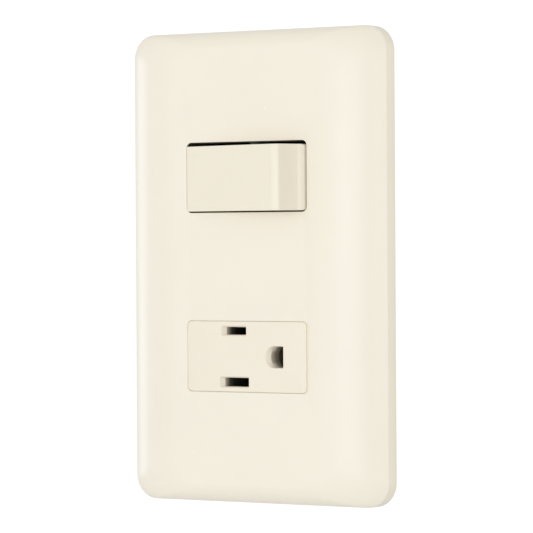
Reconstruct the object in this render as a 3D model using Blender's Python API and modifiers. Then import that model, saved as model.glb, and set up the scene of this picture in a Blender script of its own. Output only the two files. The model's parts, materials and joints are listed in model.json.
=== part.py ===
"""Single-gang wall plate with a horizontal rocker switch above a receptacle.

Metres, +Z up. The plate's front faces -Y and the origin is the plate's centre on
the wall plane Y = 0. The switch is at rest with its right end raised.
"""
import math

import bmesh
import bpy
from mathutils import Matrix, Vector

MM = 0.001
GAP = 0.3 * MM
ROUND_SEGMENTS = 20
TURNED_SEGMENTS = 18
CROWN_FLAT = 0.78
CROWN_SLOPE = 0.2

# Cover plate
PLATE_WIDTH = 75.0 * MM
PLATE_HEIGHT = 116.6 * MM
PLATE_FACE = 9.2 * MM
PLATE_EDGE = 3.6 * MM
PLATE_FLAT_HALF = 22.0 * MM
PLATE_ROLL_RUN = 4.8 * MM
PLATE_CORNER = 6.0 * MM
PLATE_WALL = 2.0 * MM
WINDOW_WIDTH = 35.4 * MM
WINDOW_HEIGHT = 17.4 * MM
WINDOW_CORNER = 1.3 * MM
SNAP_LEG_X = 24.0 * MM
SNAP_LEG_THICK = 1.6 * MM
SNAP_LEG_WIDTH = 8.0 * MM
SNAP_LEG_Z = 30.0 * MM

# Mounting strap, whose back lies on the wall plane
MODULE_Z = 22.0 * MM
STRAP_WIDTH = 47.0 * MM
STRAP_HEIGHT = 106.0 * MM
STRAP_THICK = 1.2 * MM
STRAP_CORNER = 4.0 * MM
BAY_WIDTH = 39.8 * MM
BAY_HEIGHT = 66.8 * MM
BOX_SCREW_Z = 41.65 * MM
STRAP_SLOT_HALF_LENGTH = 3.6 * MM
STRAP_SLOT_R = 2.2 * MM
BOX_SCREW_LENGTH = 21.0 * MM
BOX_SCREW_HEAD_R = 3.3 * MM
BOX_SCREW_HEAD_THICK = 2.1 * MM
BOX_SCREW_CROWN = 0.8 * MM
RETAINER_R = 4.2 * MM
RETAINER_THICK = 0.8 * MM
EAR_SCORE_Z = 48.0 * MM
EAR_SCORE_HALF_WIDTH = 0.4 * MM
EAR_SCORE_DEPTH = 0.4 * MM

# Outer shape that both modules share
MODULE_HALF_X = 19.6 * MM
MODULE_HALF_Z = 10.2 * MM
MODULE_FRONT = 6.9 * MM
MODULE_BACK = 20.0 * MM
WELL_FLOOR = 14.0 * MM
CLIP_REACH = 22.6 * MM
CLIP_HALF_Z = 4.0 * MM
CLIP_THICK = 1.5 * MM
HOOK_REACH = 21.0 * MM
HOOK_THICK = 1.2 * MM
WELL_WALL = 1.3 * MM
BARRIER_HALF = 0.9 * MM

# Rocker, measured from its pivot; "height" is towards the front. It sits low in its end play.
PIVOT_DEPTH = 5.0 * MM
ROCKER_STROKE = math.radians(22.0)
ROCKER_HALF_Z = 8.15 * MM
ROCKER_CORNER = 1.2 * MM
ROCKER_DROP = 0.2 * MM
ROCKER_END_X = 17.55 * MM
ROCKER_END_R = 17.6 * MM
ROCKER_SKIRT = 4.5 * MM
ROCKER_FLUSH = PLATE_FACE - PIVOT_DEPTH
ROCKER_CREST_X = 13.2 * MM
ROCKER_CREST = 11.2 * MM
ROCKER_CREST_R = 1.9 * MM
ROCKER_NOSE_X = 16.7 * MM
ROCKER_NOSE = 5.3 * MM
ROCKER_NOSE_SAG = 0.45 * MM
ROCKER_WALL = 1.7 * MM
TRUNNION_R = 1.2 * MM
TRUNNION_REACH = 9.9 * MM
CHEEK_INNER = 8.65 * MM
CAVITY_HALF_X = 18.4 * MM
CAVITY_FLOOR = 10.0 * MM

# Plunger, measured from the pivot along its own axis
PLUNGER_TIP = 9.7 * MM
PLUNGER_TIP_R = 1.2 * MM
PLUNGER_R = 1.9 * MM
PLUNGER_TOP = 1.8 * MM
BOSS_R = 3.6 * MM
BOSS_TOP = -6.9 * MM
BOSS_END = 6.2 * MM
BORE_R = 2.3 * MM
BORE_TOP = -5.8 * MM
SPRING_R = 1.45 * MM
SPRING_WIRE_R = 0.22 * MM
SPRING_TURNS = 6
SPRING_POINTS_PER_TURN = 8
TIP_SHOULDER = 1.4 * MM

# Contact lever and terminals, measured from the wall plane
LEVER_DEPTH = 5.8 * MM
LEVER_THICK = 0.8 * MM
LEVER_REACH = 9.5 * MM
LEVER_BEND = math.atan(0.2)
LEVER_TILT = math.radians(8.0)
LEVER_HALF_Z = 2.4 * MM
CONTACT_X = 7.8 * MM
CONTACT_R = 1.6 * MM
CONTACT_HEAD = 0.9 * MM
CONTACT_SHANK_R = 0.7 * MM
CONTACT_EDGE = 0.35 * MM
CONTACT_CROWN = 0.5 * MM
FIXED_CONTACT_FRONT = 6.9 * MM
STRIP_THICK = 1.0 * MM
STRIP_HALF_Z = 2.5 * MM
PAD_BACK = CAVITY_FLOOR - GAP
STRIP_REACH = 15.0 * MM
STRIP_END_X = 5.5 * MM
SWITCH_SCREW_X = 9.5 * MM
POST_HALF_X = 0.8 * MM

# Terminal screws and clamp plates
SCREW_SHANK_R = 1.6 * MM
SCREW_HOLE_R = 2.0 * MM
SCREW_HEAD_R = 2.8 * MM
SCREW_HEAD_THICK = 1.9 * MM
SCREW_CROWN = 0.7 * MM
SCREW_HOLE_END = 11.5 * MM
DRIVER_SLOT_DEPTH = 0.8 * MM
CLAMP_HALF = 3.1 * MM
CLAMP_THICK = 1.0 * MM

# Receptacle
FACE_BACK = 2.0 * MM
NECK_WIDTH = 34.9 * MM
NECK_HEIGHT = 16.9 * MM
FACE_WALL = 2.7 * MM
BLADE_X = -3.57 * MM
BLADE_Z = 6.35 * MM
NEUTRAL_SLOT = (8.4 * MM, 2.0 * MM)
HOT_SLOT = (7.3 * MM, 1.7 * MM)
GROUND_X = 8.32 * MM
GROUND_R = 2.575 * MM
GROUND_FLAT = 2.6 * MM
POCKET_HALF_X = 5.3 * MM
POCKET_HALF_Z = 1.3 * MM
CONTACT_CELL_HALF_Z = 2.5 * MM
CONTACT_CELL_FLOOR = 12.0 * MM
LEAF_HALF_X = 3.5 * MM
LEAF_INNER = 0.8 * MM
LEAF_OUTER = 1.6 * MM
LEAF_FRONT = 2.8 * MM
SLEEVE_R = 2.65 * MM
SLEEVE_WALL = 0.8 * MM
SLEEVE_SPLIT_HALF = 0.5 * MM
GROUND_CELL_HALF = 4.0 * MM
TAIL_TRIM = 0.1 * MM
TAIL_OVERLAP = 2.0 * MM
LINE_WELL_END = 15.9 * MM
LINE_SCREW = (-11.4 * MM, 5.2 * MM)
GROUND_SCREW_X = 12.6 * MM
BODY_SCREW_X = 17.75 * MM
BODY_SCREW_R = 0.9 * MM
BODY_SCREW_HEAD_R = 1.7 * MM
BODY_SCREW_HEAD_THICK = 1.1 * MM
BODY_SCREW_CROWN = 0.5 * MM
BODY_SCREW_END = -3.1 * MM

IVORY = (0.88, 0.83, 0.72)
MODULE_GREY = (0.30, 0.30, 0.29)
STEEL = (0.62, 0.63, 0.64)
BRASS = (0.80, 0.62, 0.30)
SILVER = (0.86, 0.86, 0.84)
GREEN = (0.10, 0.36, 0.16)
FIBRE = (0.36, 0.13, 0.08)

PARTS = None
CUTTERS = None


def clear_scene():
    for item in list(bpy.data.objects):
        bpy.data.objects.remove(item, do_unlink=True)


def new_collection(name):
    collection = bpy.data.collections.new(name)
    bpy.context.scene.collection.children.link(collection)
    return collection


def material(name, colour, roughness, metallic=0.0):
    made = bpy.data.materials.new(name)
    made.use_nodes = True
    shader = made.node_tree.nodes["Principled BSDF"]
    shader.inputs["Base Color"].default_value = (*colour, 1.0)
    shader.inputs["Roughness"].default_value = roughness
    shader.inputs["Metallic"].default_value = metallic
    return made


def axis_empty(name, location, parent=None, angle=0.0):
    """Empty at a joint or module centre, turned about Z."""
    empty = bpy.data.objects.new(name, None)
    empty.location = location
    empty.rotation_euler = (0.0, 0.0, angle)
    empty.parent = parent
    empty.hide_render = True
    PARTS.objects.link(empty)
    return empty


def add_object(name, mesh, parent, collection):
    made = bpy.data.objects.new(name, mesh)
    made.parent = parent
    collection.objects.link(made)
    if collection is CUTTERS:
        made.hide_render = True
        made.display_type = "WIRE"
    return made


def box(name, low, high, parent=None, collection=None):
    """Cuboid between two opposite corners."""
    size = Vector(high) - Vector(low)
    centre = (Vector(high) + Vector(low)) / 2
    shape = bmesh.new()
    place = Matrix.Translation(centre) @ Matrix.Diagonal((*size, 1.0))
    bmesh.ops.create_cube(shape, size=1.0, matrix=place)
    mesh = bpy.data.meshes.new(name)
    shape.to_mesh(mesh)
    shape.free()
    return add_object(name, mesh, parent, collection or PARTS)


def cylinder(name, radius, axis, low, high, centre=(0.0, 0.0), parent=None, collection=None):
    """Cylinder along Y or Z; centre holds its place on the other two axes, in XYZ order."""
    turn = {"Y": Matrix.Rotation(math.pi / 2, 4, "X"), "Z": Matrix()}
    place = list(centre)
    place.insert("XYZ".index(axis), (low + high) / 2)
    shape = bmesh.new()
    bmesh.ops.create_cone(shape, cap_ends=True, segments=ROUND_SEGMENTS, radius1=radius, radius2=radius,
                          depth=high - low, matrix=Matrix.Translation(place) @ turn[axis])
    mesh = bpy.data.meshes.new(name)
    shape.to_mesh(mesh)
    shape.free()
    return add_object(name, mesh, parent, collection or PARTS)


def prism(name, loops, axis, low, high, parent=None, collection=None):
    """Flat outline, with holes for any further loops, extruded along one axis.

    The outline's coordinates are (y, z) for axis X, (x, z) for Y and (x, y) for Z.
    It is drawn in millimetres, so that its smallest corners fill cleanly, and scaled to metres.
    """
    curve = bpy.data.curves.new(name, "CURVE")
    curve.dimensions = "2D"
    curve.fill_mode = "BOTH"
    curve.extrude = (high - low) / 2 / MM
    for loop in loops:
        spline = curve.splines.new("POLY")
        spline.points.add(len(loop) - 1)
        spline.use_cyclic_u = True
        for point, (u, v) in zip(spline.points, loop):
            point.co = (u / MM, v / MM, 0.0, 1.0)
    drawn = bpy.data.objects.new(name + "_outline", curve)
    bpy.context.scene.collection.objects.link(drawn)
    depsgraph = bpy.context.evaluated_depsgraph_get()
    mesh = bpy.data.meshes.new_from_object(drawn.evaluated_get(depsgraph))
    mesh.name = name
    bpy.data.objects.remove(drawn)

    turn = {"X": Matrix(((0, 0, 1), (1, 0, 0), (0, 1, 0))).to_4x4(),
            "Y": Matrix.Rotation(math.pi / 2, 4, "X"),
            "Z": Matrix()}
    place = Vector((0.0, 0.0, 0.0))
    place["XYZ".index(axis)] = (low + high) / 2
    shape = bmesh.new()
    shape.from_mesh(mesh)
    bmesh.ops.remove_doubles(shape, verts=shape.verts, dist=1e-4)
    to_place = Matrix.Translation(place) @ turn[axis] @ Matrix.Scale(MM, 4)
    bmesh.ops.transform(shape, matrix=to_place, verts=shape.verts)
    bmesh.ops.recalc_face_normals(shape, faces=shape.faces)
    shape.to_mesh(mesh)
    shape.free()
    mesh.materials.clear()
    return add_object(name, mesh, parent, collection or PARTS)


def turned(name, profile, parent=None, backwards=False):
    """Round piece about Y. The profile's points are (radius, distance along the axis).

    They run from the front end to the back end, or from the back if backwards.
    """
    mesh = bpy.data.meshes.new(name)
    top = 1.0 if backwards else -1.0
    points = [(radius, 0.0, top * along) for radius, along in profile]
    mesh.from_pydata(points, [(i, i + 1) for i in range(len(points) - 1)], [])
    made = add_object(name, mesh, parent, PARTS)
    made.rotation_euler = (-math.pi / 2 if backwards else math.pi / 2, 0.0, 0.0)
    screw = made.modifiers.new("turn", "SCREW")
    screw.axis = "Z"
    screw.steps = TURNED_SEGMENTS
    screw.render_steps = TURNED_SEGMENTS
    screw.use_merge_vertices = True
    screw.merge_threshold = 1e-6
    return made


def crown(radius, top, depth):
    """Profile of a rounded head from its centre to its rim; depth is signed along the axis."""
    return [(0.0, top), (radius * CROWN_FLAT, top + depth * CROWN_SLOPE), (radius, top + depth)]


def combine(target, other, operation):
    step = target.modifiers.new(operation.lower(), "BOOLEAN")
    step.operation = operation
    step.object = other
    step.solver = "EXACT"
    return target


def cut(target, *others):
    for other in others:
        combine(target, other, "DIFFERENCE")
    return target


def join(target, *others):
    for other in others:
        combine(target, other, "UNION")
    return target


def arc(centre, radius, start, end, steps):
    """Points on a circle from one angle to another, both ends included."""
    angles = [start + (end - start) * i / steps for i in range(steps + 1)]
    return [(centre[0] + radius * math.cos(a), centre[1] + radius * math.sin(a)) for a in angles]


def rounded_rectangle(width, height, radius, steps=5, centre=(0.0, 0.0)):
    points = []
    for index, (sx, sy) in enumerate(((1, 1), (-1, 1), (-1, -1), (1, -1))):
        corner = (centre[0] + sx * (width / 2 - radius), centre[1] + sy * (height / 2 - radius))
        start = index * math.pi / 2
        points += arc(corner, radius, start, start + math.pi / 2, steps)
    return points


def finish_piece(piece, look, smooth_angle=30.0):
    """Gives the piece its material and smooth round faces."""
    piece.data.materials.clear()
    piece.data.materials.append(look)
    piece.data.shade_smooth()
    piece.data.set_sharp_from_angle(angle=math.radians(smooth_angle))
    return piece


# Cover plate

def side_section(inset, back, steps=8):
    """Horizontal section (x, y): flat middle, round shoulders and straight edges."""
    run = PLATE_WIDTH / 2 - PLATE_FLAT_HALF
    drop = PLATE_FACE - PLATE_EDGE
    radius = (run ** 2 + drop ** 2) / (2 * drop)
    centre_height = PLATE_FACE - radius
    end = math.asin((run - inset) / (radius - inset))
    half = arc((PLATE_FLAT_HALF, centre_height), radius - inset, math.pi / 2, math.pi / 2 - end, steps)
    right = [(x, -height) for x, height in half]
    right.append((PLATE_WIDTH / 2 - inset, back))
    left = [(-x, y) for x, y in reversed(right)]
    return left + right


def roll_section(inset, back, steps=6):
    """Vertical section (y, z): flat face that rolls over at its top and bottom."""
    drop = PLATE_FACE - PLATE_EDGE
    flat = PLATE_HEIGHT / 2 - PLATE_ROLL_RUN
    upper = []
    for i in range(steps + 1):
        angle = math.pi / 2 * i / steps
        height = PLATE_EDGE + (drop - inset) * math.cos(angle)
        upper.append((-height, flat + (PLATE_ROLL_RUN - inset) * math.sin(angle)))
    upper.append((back, PLATE_HEIGHT / 2 - inset))
    lower = [(y, -z) for y, z in reversed(upper)]
    return lower + upper


def plate_form(name, inset, back, collection):
    """The plate's outer form, or the same form set in by a wall thickness."""
    form = prism(name, [side_section(inset, back)], "Z", -PLATE_HEIGHT / 2, PLATE_HEIGHT / 2,
                 None, collection)
    roll = prism(name + "_roll", [roll_section(inset, back)], "X", -PLATE_WIDTH, PLATE_WIDTH,
                 None, CUTTERS)
    outline = rounded_rectangle(PLATE_WIDTH - 2 * inset, PLATE_HEIGHT - 2 * inset, PLATE_CORNER - inset)
    corners = prism(name + "_corners", [outline], "Y", -2 * PLATE_FACE, 2 * PLATE_FACE, None, CUTTERS)
    combine(form, roll, "INTERSECT")
    combine(form, corners, "INTERSECT")
    return form


def cover_plate(look):
    plate = plate_form("cover_plate", 0.0, 0.0, PARTS)
    cut(plate, plate_form("cover_hollow", PLATE_WALL, PLATE_EDGE, CUTTERS))
    for side in (1, -1):
        centre = (0.0, side * MODULE_Z)
        window = rounded_rectangle(WINDOW_WIDTH, WINDOW_HEIGHT, WINDOW_CORNER, 4, centre)
        cut(plate, prism("cover_window", [window], "Y", -2 * PLATE_FACE, -PLATE_EDGE, None, CUTTERS))
    for x_side in (1, -1):
        for z_side in (1, -1):
            xs = sorted((x_side * SNAP_LEG_X, x_side * (SNAP_LEG_X + SNAP_LEG_THICK)))
            z = z_side * SNAP_LEG_Z
            low = (xs[0], PLATE_WALL / 2 - PLATE_FACE, z - SNAP_LEG_WIDTH / 2)
            high = (xs[1], -2 * GAP, z + SNAP_LEG_WIDTH / 2)
            join(plate, box("cover_snap_leg", low, high, None, CUTTERS))
    return finish_piece(plate, look)


# Strap and its fasteners

def slot_outline(half_length, radius, centre_z, steps=8):
    """Slot with round ends, long in x, in (x, z)."""
    right = arc((half_length - radius, centre_z), radius, -math.pi / 2, math.pi / 2, steps)
    left = arc((radius - half_length, centre_z), radius, math.pi / 2, 3 * math.pi / 2, steps)
    return right + left


def mounting_strap(look):
    """Flat strap with a bay for the modules, screw slots and score lines that let its ears snap off."""
    loops = [
        rounded_rectangle(STRAP_WIDTH, STRAP_HEIGHT, STRAP_CORNER),
        rounded_rectangle(BAY_WIDTH, BAY_HEIGHT, MM, 3),
        slot_outline(STRAP_SLOT_HALF_LENGTH, STRAP_SLOT_R, BOX_SCREW_Z),
        slot_outline(STRAP_SLOT_HALF_LENGTH, STRAP_SLOT_R, -BOX_SCREW_Z),
    ]
    strap = prism("mounting_strap", loops, "Y", -STRAP_THICK, 0.0)
    for side in (1, -1):
        z = side * EAR_SCORE_Z
        low = (-STRAP_WIDTH, -EAR_SCORE_DEPTH, z - EAR_SCORE_HALF_WIDTH)
        high = (STRAP_WIDTH, STRAP_THICK, z + EAR_SCORE_HALF_WIDTH)
        cut(strap, box("strap_score", low, high, None, CUTTERS))
    return finish_piece(strap, look)


def driver_slot(name, head_r, low_y, high_y, parent):
    """Cutter for a straight driver slot that runs across a head along X."""
    half_width = head_r / 6
    return box(name, (-2 * head_r, low_y, -half_width), (2 * head_r, high_y, half_width), parent, CUTTERS)


def box_screw(name, side, look):
    """Pan-head screw through the strap's ear into the wall box."""
    head_r = BOX_SCREW_HEAD_R
    seat = -(STRAP_THICK + GAP)
    front = seat - BOX_SCREW_HEAD_THICK
    end = seat + BOX_SCREW_LENGTH
    profile = crown(head_r, front, BOX_SCREW_CROWN)
    profile += [(head_r, seat), (SCREW_SHANK_R, seat), (SCREW_SHANK_R, end), (0.0, end)]
    place = axis_empty(name + "_axis", (0.0, 0.0, side * BOX_SCREW_Z))
    screw = turned(name, profile, place)
    cut(screw, driver_slot(name + "_slot", head_r, front - MM, front + DRIVER_SLOT_DEPTH, place))
    return finish_piece(screw, look)


def screw_retainer(name, side, look):
    """Fibre washer that keeps a box screw in the strap."""
    centre = (0.0, side * BOX_SCREW_Z)
    washer = cylinder(name, RETAINER_R, "Y", GAP, GAP + RETAINER_THICK, centre)
    cut(washer, cylinder(name + "_hole", SCREW_SHANK_R + GAP, "Y", -MM, 4 * MM, centre, None, CUTTERS))
    return finish_piece(washer, look)


def add_clips(body, name, parent):
    """Front lugs and rear hooks that hold a module on the strap's side rails."""
    front = -(STRAP_THICK + GAP)
    inside = MODULE_HALF_X - MM
    for side in (1, -1):
        lug_x = sorted((side * inside, side * CLIP_REACH))
        hook_x = sorted((side * inside, side * HOOK_REACH))
        lug = box(name + "_lug", (lug_x[0], front - CLIP_THICK, -CLIP_HALF_Z),
                  (lug_x[1], front, CLIP_HALF_Z), parent, CUTTERS)
        hook = box(name + "_hook", (hook_x[0], GAP, -CLIP_HALF_Z / 2),
                   (hook_x[1], GAP + HOOK_THICK, CLIP_HALF_Z / 2), parent, CUTTERS)
        join(body, lug, hook)


# Rocker and what it carries

def face_height(x):
    """Height of the rocker's face above the pivot, between the flush end and the crest."""
    slope = (ROCKER_CREST - ROCKER_FLUSH) / (ROCKER_CREST_X + ROCKER_END_X)
    return ROCKER_FLUSH + slope * (x + ROCKER_END_X)


def crest_directions():
    """Angles below the horizontal, on the face's side and on the nose's side of the crest."""
    face = math.atan2(ROCKER_CREST - ROCKER_FLUSH, ROCKER_CREST_X + ROCKER_END_X)
    nose = math.atan2(ROCKER_CREST - ROCKER_NOSE, ROCKER_NOSE_X - ROCKER_CREST_X)
    return face, nose


def rocker_outline():
    """Outer outline (x, height) of the rocker, from its lower left, over the face, to its lower right."""
    face, nose = crest_directions()
    skirt_angle = math.asin(ROCKER_SKIRT / ROCKER_END_R)
    flush_angle = math.acos(ROCKER_END_X / ROCKER_END_R)
    nose_angle = math.asin(ROCKER_NOSE / ROCKER_END_R)
    points = arc((0.0, 0.0), ROCKER_END_R, math.pi + skirt_angle, math.pi - flush_angle, 6)
    points.append((-ROCKER_END_X, ROCKER_FLUSH))
    inward = ROCKER_CREST_R / math.cos((face + nose) / 2)
    lean = (nose - face) / 2
    centre = (ROCKER_CREST_X - inward * math.sin(lean), ROCKER_CREST - inward * math.cos(lean))
    points += arc(centre, ROCKER_CREST_R, math.pi / 2 + face, math.pi / 2 - nose, 5)
    start = Vector(points[-1])
    end = Vector((ROCKER_END_R * math.cos(nose_angle), ROCKER_NOSE))
    across = Vector((-math.sin(nose), -math.cos(nose)))
    steps = 5
    for i in range(1, steps):
        t = i / steps
        points.append(tuple(start.lerp(end, t) + across * (4 * ROCKER_NOSE_SAG * t * (1 - t))))
    points += arc((0.0, 0.0), ROCKER_END_R, nose_angle, -skirt_angle, 6)
    return points


def rocker_hollow_outline():
    """Inner outline (x, height): the face, nose and ends set in by the wall."""
    face, nose = crest_directions()
    side = ROCKER_END_X - ROCKER_WALL
    inward = ROCKER_WALL / math.cos((face + nose) / 2)
    lean = (nose - face) / 2
    crest = (ROCKER_CREST_X - inward * math.sin(lean), ROCKER_CREST - inward * math.cos(lean))
    nose_x = ROCKER_NOSE_X - ROCKER_WALL
    nose_height = crest[1] - (nose_x - crest[0]) * math.tan(nose) - ROCKER_NOSE_SAG
    below = -2 * ROCKER_SKIRT
    return [(-side, below), (-side, face_height(-side) - ROCKER_WALL / math.cos(face)), crest,
            (nose_x, nose_height), (nose_x, below)]


def flip_heights(points):
    """(x, height) above a point to (x, y), as the front is towards -Y."""
    return [(x, -height) for x, height in points]


def switch_rocker(axis, plunger_axis, look):
    outer = flip_heights(rocker_outline())
    inner = flip_heights(rocker_hollow_outline())
    inner_z = ROCKER_HALF_Z - ROCKER_WALL
    middle = (0.0, 0.0)
    plan = rounded_rectangle(2 * ROCKER_END_R, 2 * ROCKER_HALF_Z, ROCKER_CORNER, 4)
    rocker = prism("switch_rocker", [outer], "Z", -2 * ROCKER_HALF_Z, 2 * ROCKER_HALF_Z, axis)
    corners = prism("rocker_plan", [plan], "Y", -2 * ROCKER_CREST, 2 * ROCKER_CREST, axis, CUTTERS)
    combine(rocker, corners, "INTERSECT")
    cut(rocker, prism("rocker_hollow", [inner], "Z", -inner_z, inner_z, axis, CUTTERS))
    join(rocker, cylinder("rocker_boss", BOSS_R, "Y", BOSS_TOP, BOSS_END, middle, plunger_axis, CUTTERS))
    cut(rocker, cylinder("rocker_bore", BORE_R, "Y", BORE_TOP, 2 * BOSS_END, middle, plunger_axis, CUTTERS))
    for side in (1, -1):
        low, high = sorted((side * (ROCKER_HALF_Z - ROCKER_WALL / 2), side * TRUNNION_REACH))
        join(rocker, cylinder("rocker_trunnion", TRUNNION_R, "Z", low, high, middle, axis, CUTTERS))
    return finish_piece(rocker, look)


def rocker_plunger(axis, look):
    nose_start = PLUNGER_TIP - PLUNGER_TIP_R
    shoulder = nose_start - TIP_SHOULDER
    tip = arc((0.0, nose_start), PLUNGER_TIP_R, 0.0, math.pi / 2, 5)
    profile = [(0.0, PLUNGER_TOP), (PLUNGER_R, PLUNGER_TOP), (PLUNGER_R, shoulder),
               (PLUNGER_TIP_R, shoulder + TIP_SHOULDER / 2)] + tip[:-1] + [(0.0, PLUNGER_TIP)]
    return finish_piece(turned("rocker_plunger", profile, axis), look, 40.0)


def plunger_spring(axis, look):
    """Compression spring between the bore's end and the plunger."""
    start = BORE_TOP + GAP + SPRING_WIRE_R
    end = PLUNGER_TOP - GAP - SPRING_WIRE_R
    count = SPRING_TURNS * SPRING_POINTS_PER_TURN
    curve = bpy.data.curves.new("plunger_spring", "CURVE")
    curve.dimensions = "3D"
    curve.bevel_depth = SPRING_WIRE_R
    curve.bevel_resolution = 2
    curve.use_fill_caps = True
    spline = curve.splines.new("POLY")
    spline.points.add(count)
    for i, point in enumerate(spline.points):
        angle = 2 * math.pi * i / SPRING_POINTS_PER_TURN
        along = start + (end - start) * i / count
        point.co = (SPRING_R * math.cos(angle), along, SPRING_R * math.sin(angle), 1.0)
    curve.materials.append(look)
    return add_object("plunger_spring", curve, axis, PARTS)


# Switch body and its electrical pieces

def well_cutter(name, xs, zs, parent):
    """Rear well, open at the back, for one terminal."""
    low = (min(xs), WELL_FLOOR, min(zs))
    high = (max(xs), MODULE_BACK + MM, max(zs))
    return box(name, low, high, parent, CUTTERS)


def screw_hole(name, x, z, parent):
    """Blind hole in a well's floor that clears a terminal screw's end."""
    return cylinder(name, SCREW_HOLE_R, "Y", SCREW_HOLE_END, WELL_FLOOR + MM, (x, z), parent, CUTTERS)


def pad_hole(name, x, z, parent):
    """Hole for a terminal screw through a pad that lies on a well's floor."""
    return cylinder(name, SCREW_HOLE_R, "Y", WELL_FLOOR, WELL_FLOOR + 3 * MM, (x, z), parent, CUTTERS)


def strip_passage(name, x_low, half_z, z, parent, front):
    """Slot through the floor that a terminal strip passes through."""
    low = (x_low - GAP, front - MM, z - half_z - GAP)
    high = (x_low + STRIP_THICK + GAP, WELL_FLOOR + MM, z + half_z + GAP)
    return box(name, low, high, parent, CUTTERS)


def switch_housing(parent, look):
    body = box("switch_housing", (-MODULE_HALF_X, -MODULE_FRONT, -MODULE_HALF_Z),
               (MODULE_HALF_X, MODULE_BACK, MODULE_HALF_Z), parent)
    add_clips(body, "switch", parent)
    cut(body, box("switch_cavity", (-CAVITY_HALF_X, -2 * MODULE_FRONT, -CHEEK_INNER),
                  (CAVITY_HALF_X, CAVITY_FLOOR, CHEEK_INNER), parent, CUTTERS))
    cut(body, cylinder("switch_trunnion_hole", TRUNNION_R + GAP, "Z", -2 * MODULE_HALF_Z,
                       2 * MODULE_HALF_Z, (0.0, -PIVOT_DEPTH), parent, CUTTERS))
    well_z = MODULE_HALF_Z - WELL_WALL
    for side in (1, -1):
        wells = (side * BARRIER_HALF, side * CAVITY_HALF_X)
        leg_x = min(side * STRIP_REACH, side * (STRIP_REACH - STRIP_THICK))
        cut(body, well_cutter("switch_well", wells, (-well_z, well_z), parent),
            screw_hole("switch_screw_hole", side * SWITCH_SCREW_X, 0.0, parent),
            strip_passage("switch_passage", leg_x, STRIP_HALF_Z, 0.0, parent, CAVITY_FLOOR))
    return finish_piece(body, look)


def terminal_strip_outline(inner_end, post):
    """Bent strip (x, y): an inner pad, a leg through the floor and a rear pad; post adds a knife edge."""
    pad_front = PAD_BACK - STRIP_THICK
    rear_front = WELL_FLOOR + GAP
    rear_back = rear_front + STRIP_THICK
    leg = STRIP_REACH - STRIP_THICK
    outline = [(STRIP_REACH, pad_front), (STRIP_REACH, rear_back), (STRIP_END_X, rear_back),
               (STRIP_END_X, rear_front), (leg, rear_front), (leg, PAD_BACK), (inner_end, PAD_BACK)]
    if post:
        edge = LEVER_DEPTH + GAP
        outline += [(inner_end, edge + POST_HALF_X), (0.0, edge), (POST_HALF_X, edge + POST_HALF_X),
                    (POST_HALF_X, pad_front)]
    else:
        outline.append((inner_end, pad_front))
    return outline


def common_terminal(parent, look):
    outline = terminal_strip_outline(-POST_HALF_X, True)
    strip = prism("common_terminal", [outline], "Z", -STRIP_HALF_Z, STRIP_HALF_Z, parent)
    cut(strip, pad_hole("common_terminal_hole", SWITCH_SCREW_X, 0.0, parent))
    return finish_piece(strip, look)


def fixed_terminal(parent, look):
    outline = [(-x, y) for x, y in terminal_strip_outline(STRIP_END_X, False)]
    strip = prism("fixed_terminal", [outline], "Z", -STRIP_HALF_Z, STRIP_HALF_Z, parent)
    cut(strip, pad_hole("fixed_terminal_hole", -SWITCH_SCREW_X, 0.0, parent),
        cylinder("fixed_contact_hole", CONTACT_SHANK_R + GAP, "Y", FIXED_CONTACT_FRONT, CAVITY_FLOOR,
                 (-CONTACT_X, 0.0), parent, CUTTERS))
    return finish_piece(strip, look)


def fixed_contact(parent, look):
    place = axis_empty("fixed_contact_axis", (-CONTACT_X, 0.0, 0.0), parent)
    seat = PAD_BACK - STRIP_THICK - GAP
    profile = crown(CONTACT_R, FIXED_CONTACT_FRONT, CONTACT_CROWN)
    profile += [(CONTACT_R, seat), (CONTACT_SHANK_R, seat), (CONTACT_SHANK_R, PAD_BACK), (0.0, PAD_BACK)]
    return finish_piece(turned("fixed_contact", profile, place), look)


def contact_lever(axis, seat, look):
    """See-saw whose arms bend towards the plunger; its rear edge rocks on the knife edge."""
    rise = LEVER_REACH * math.tan(LEVER_BEND)
    thick = LEVER_THICK / math.cos(LEVER_BEND)
    outline = [(-LEVER_REACH, -rise - thick), (0.0, -thick), (LEVER_REACH, -rise - thick),
               (LEVER_REACH, -rise), (0.0, 0.0), (-LEVER_REACH, -rise)]
    lever = prism("contact_lever", [outline], "Z", -LEVER_HALF_Z, LEVER_HALF_Z, axis)
    cut(lever, cylinder("moving_contact_hole", CONTACT_SHANK_R + GAP, "Y", -2 * MM, 2 * MM, (0.0, 0.0),
                        seat, CUTTERS))
    return finish_piece(lever, look)


def moving_contact(seat, look):
    front = -LEVER_THICK
    back = GAP + CONTACT_HEAD
    profile = [(0.0, front), (CONTACT_SHANK_R, front), (CONTACT_SHANK_R, GAP), (CONTACT_R, GAP),
               (CONTACT_R, back - CONTACT_EDGE), (CONTACT_R * CROWN_FLAT, back), (0.0, back)]
    return finish_piece(turned("moving_contact", profile, seat), look)


def terminal_screw(name, x, z, parent, look):
    """Rear-facing screw through a clamp plate and a terminal pad."""
    seat = WELL_FLOOR + STRIP_THICK + CLAMP_THICK + 3 * GAP
    end = SCREW_HOLE_END + GAP
    back = seat + SCREW_HEAD_THICK
    profile = crown(SCREW_HEAD_R, back, -SCREW_CROWN)
    profile += [(SCREW_HEAD_R, seat), (SCREW_SHANK_R, seat), (SCREW_SHANK_R, end), (0.0, end)]
    place = axis_empty(name + "_axis", (x, 0.0, z), parent)
    screw = turned(name, profile, place, True)
    cut(screw, driver_slot(name + "_slot", SCREW_HEAD_R, back - DRIVER_SLOT_DEPTH, back + MM, place))
    return finish_piece(screw, look)


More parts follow.
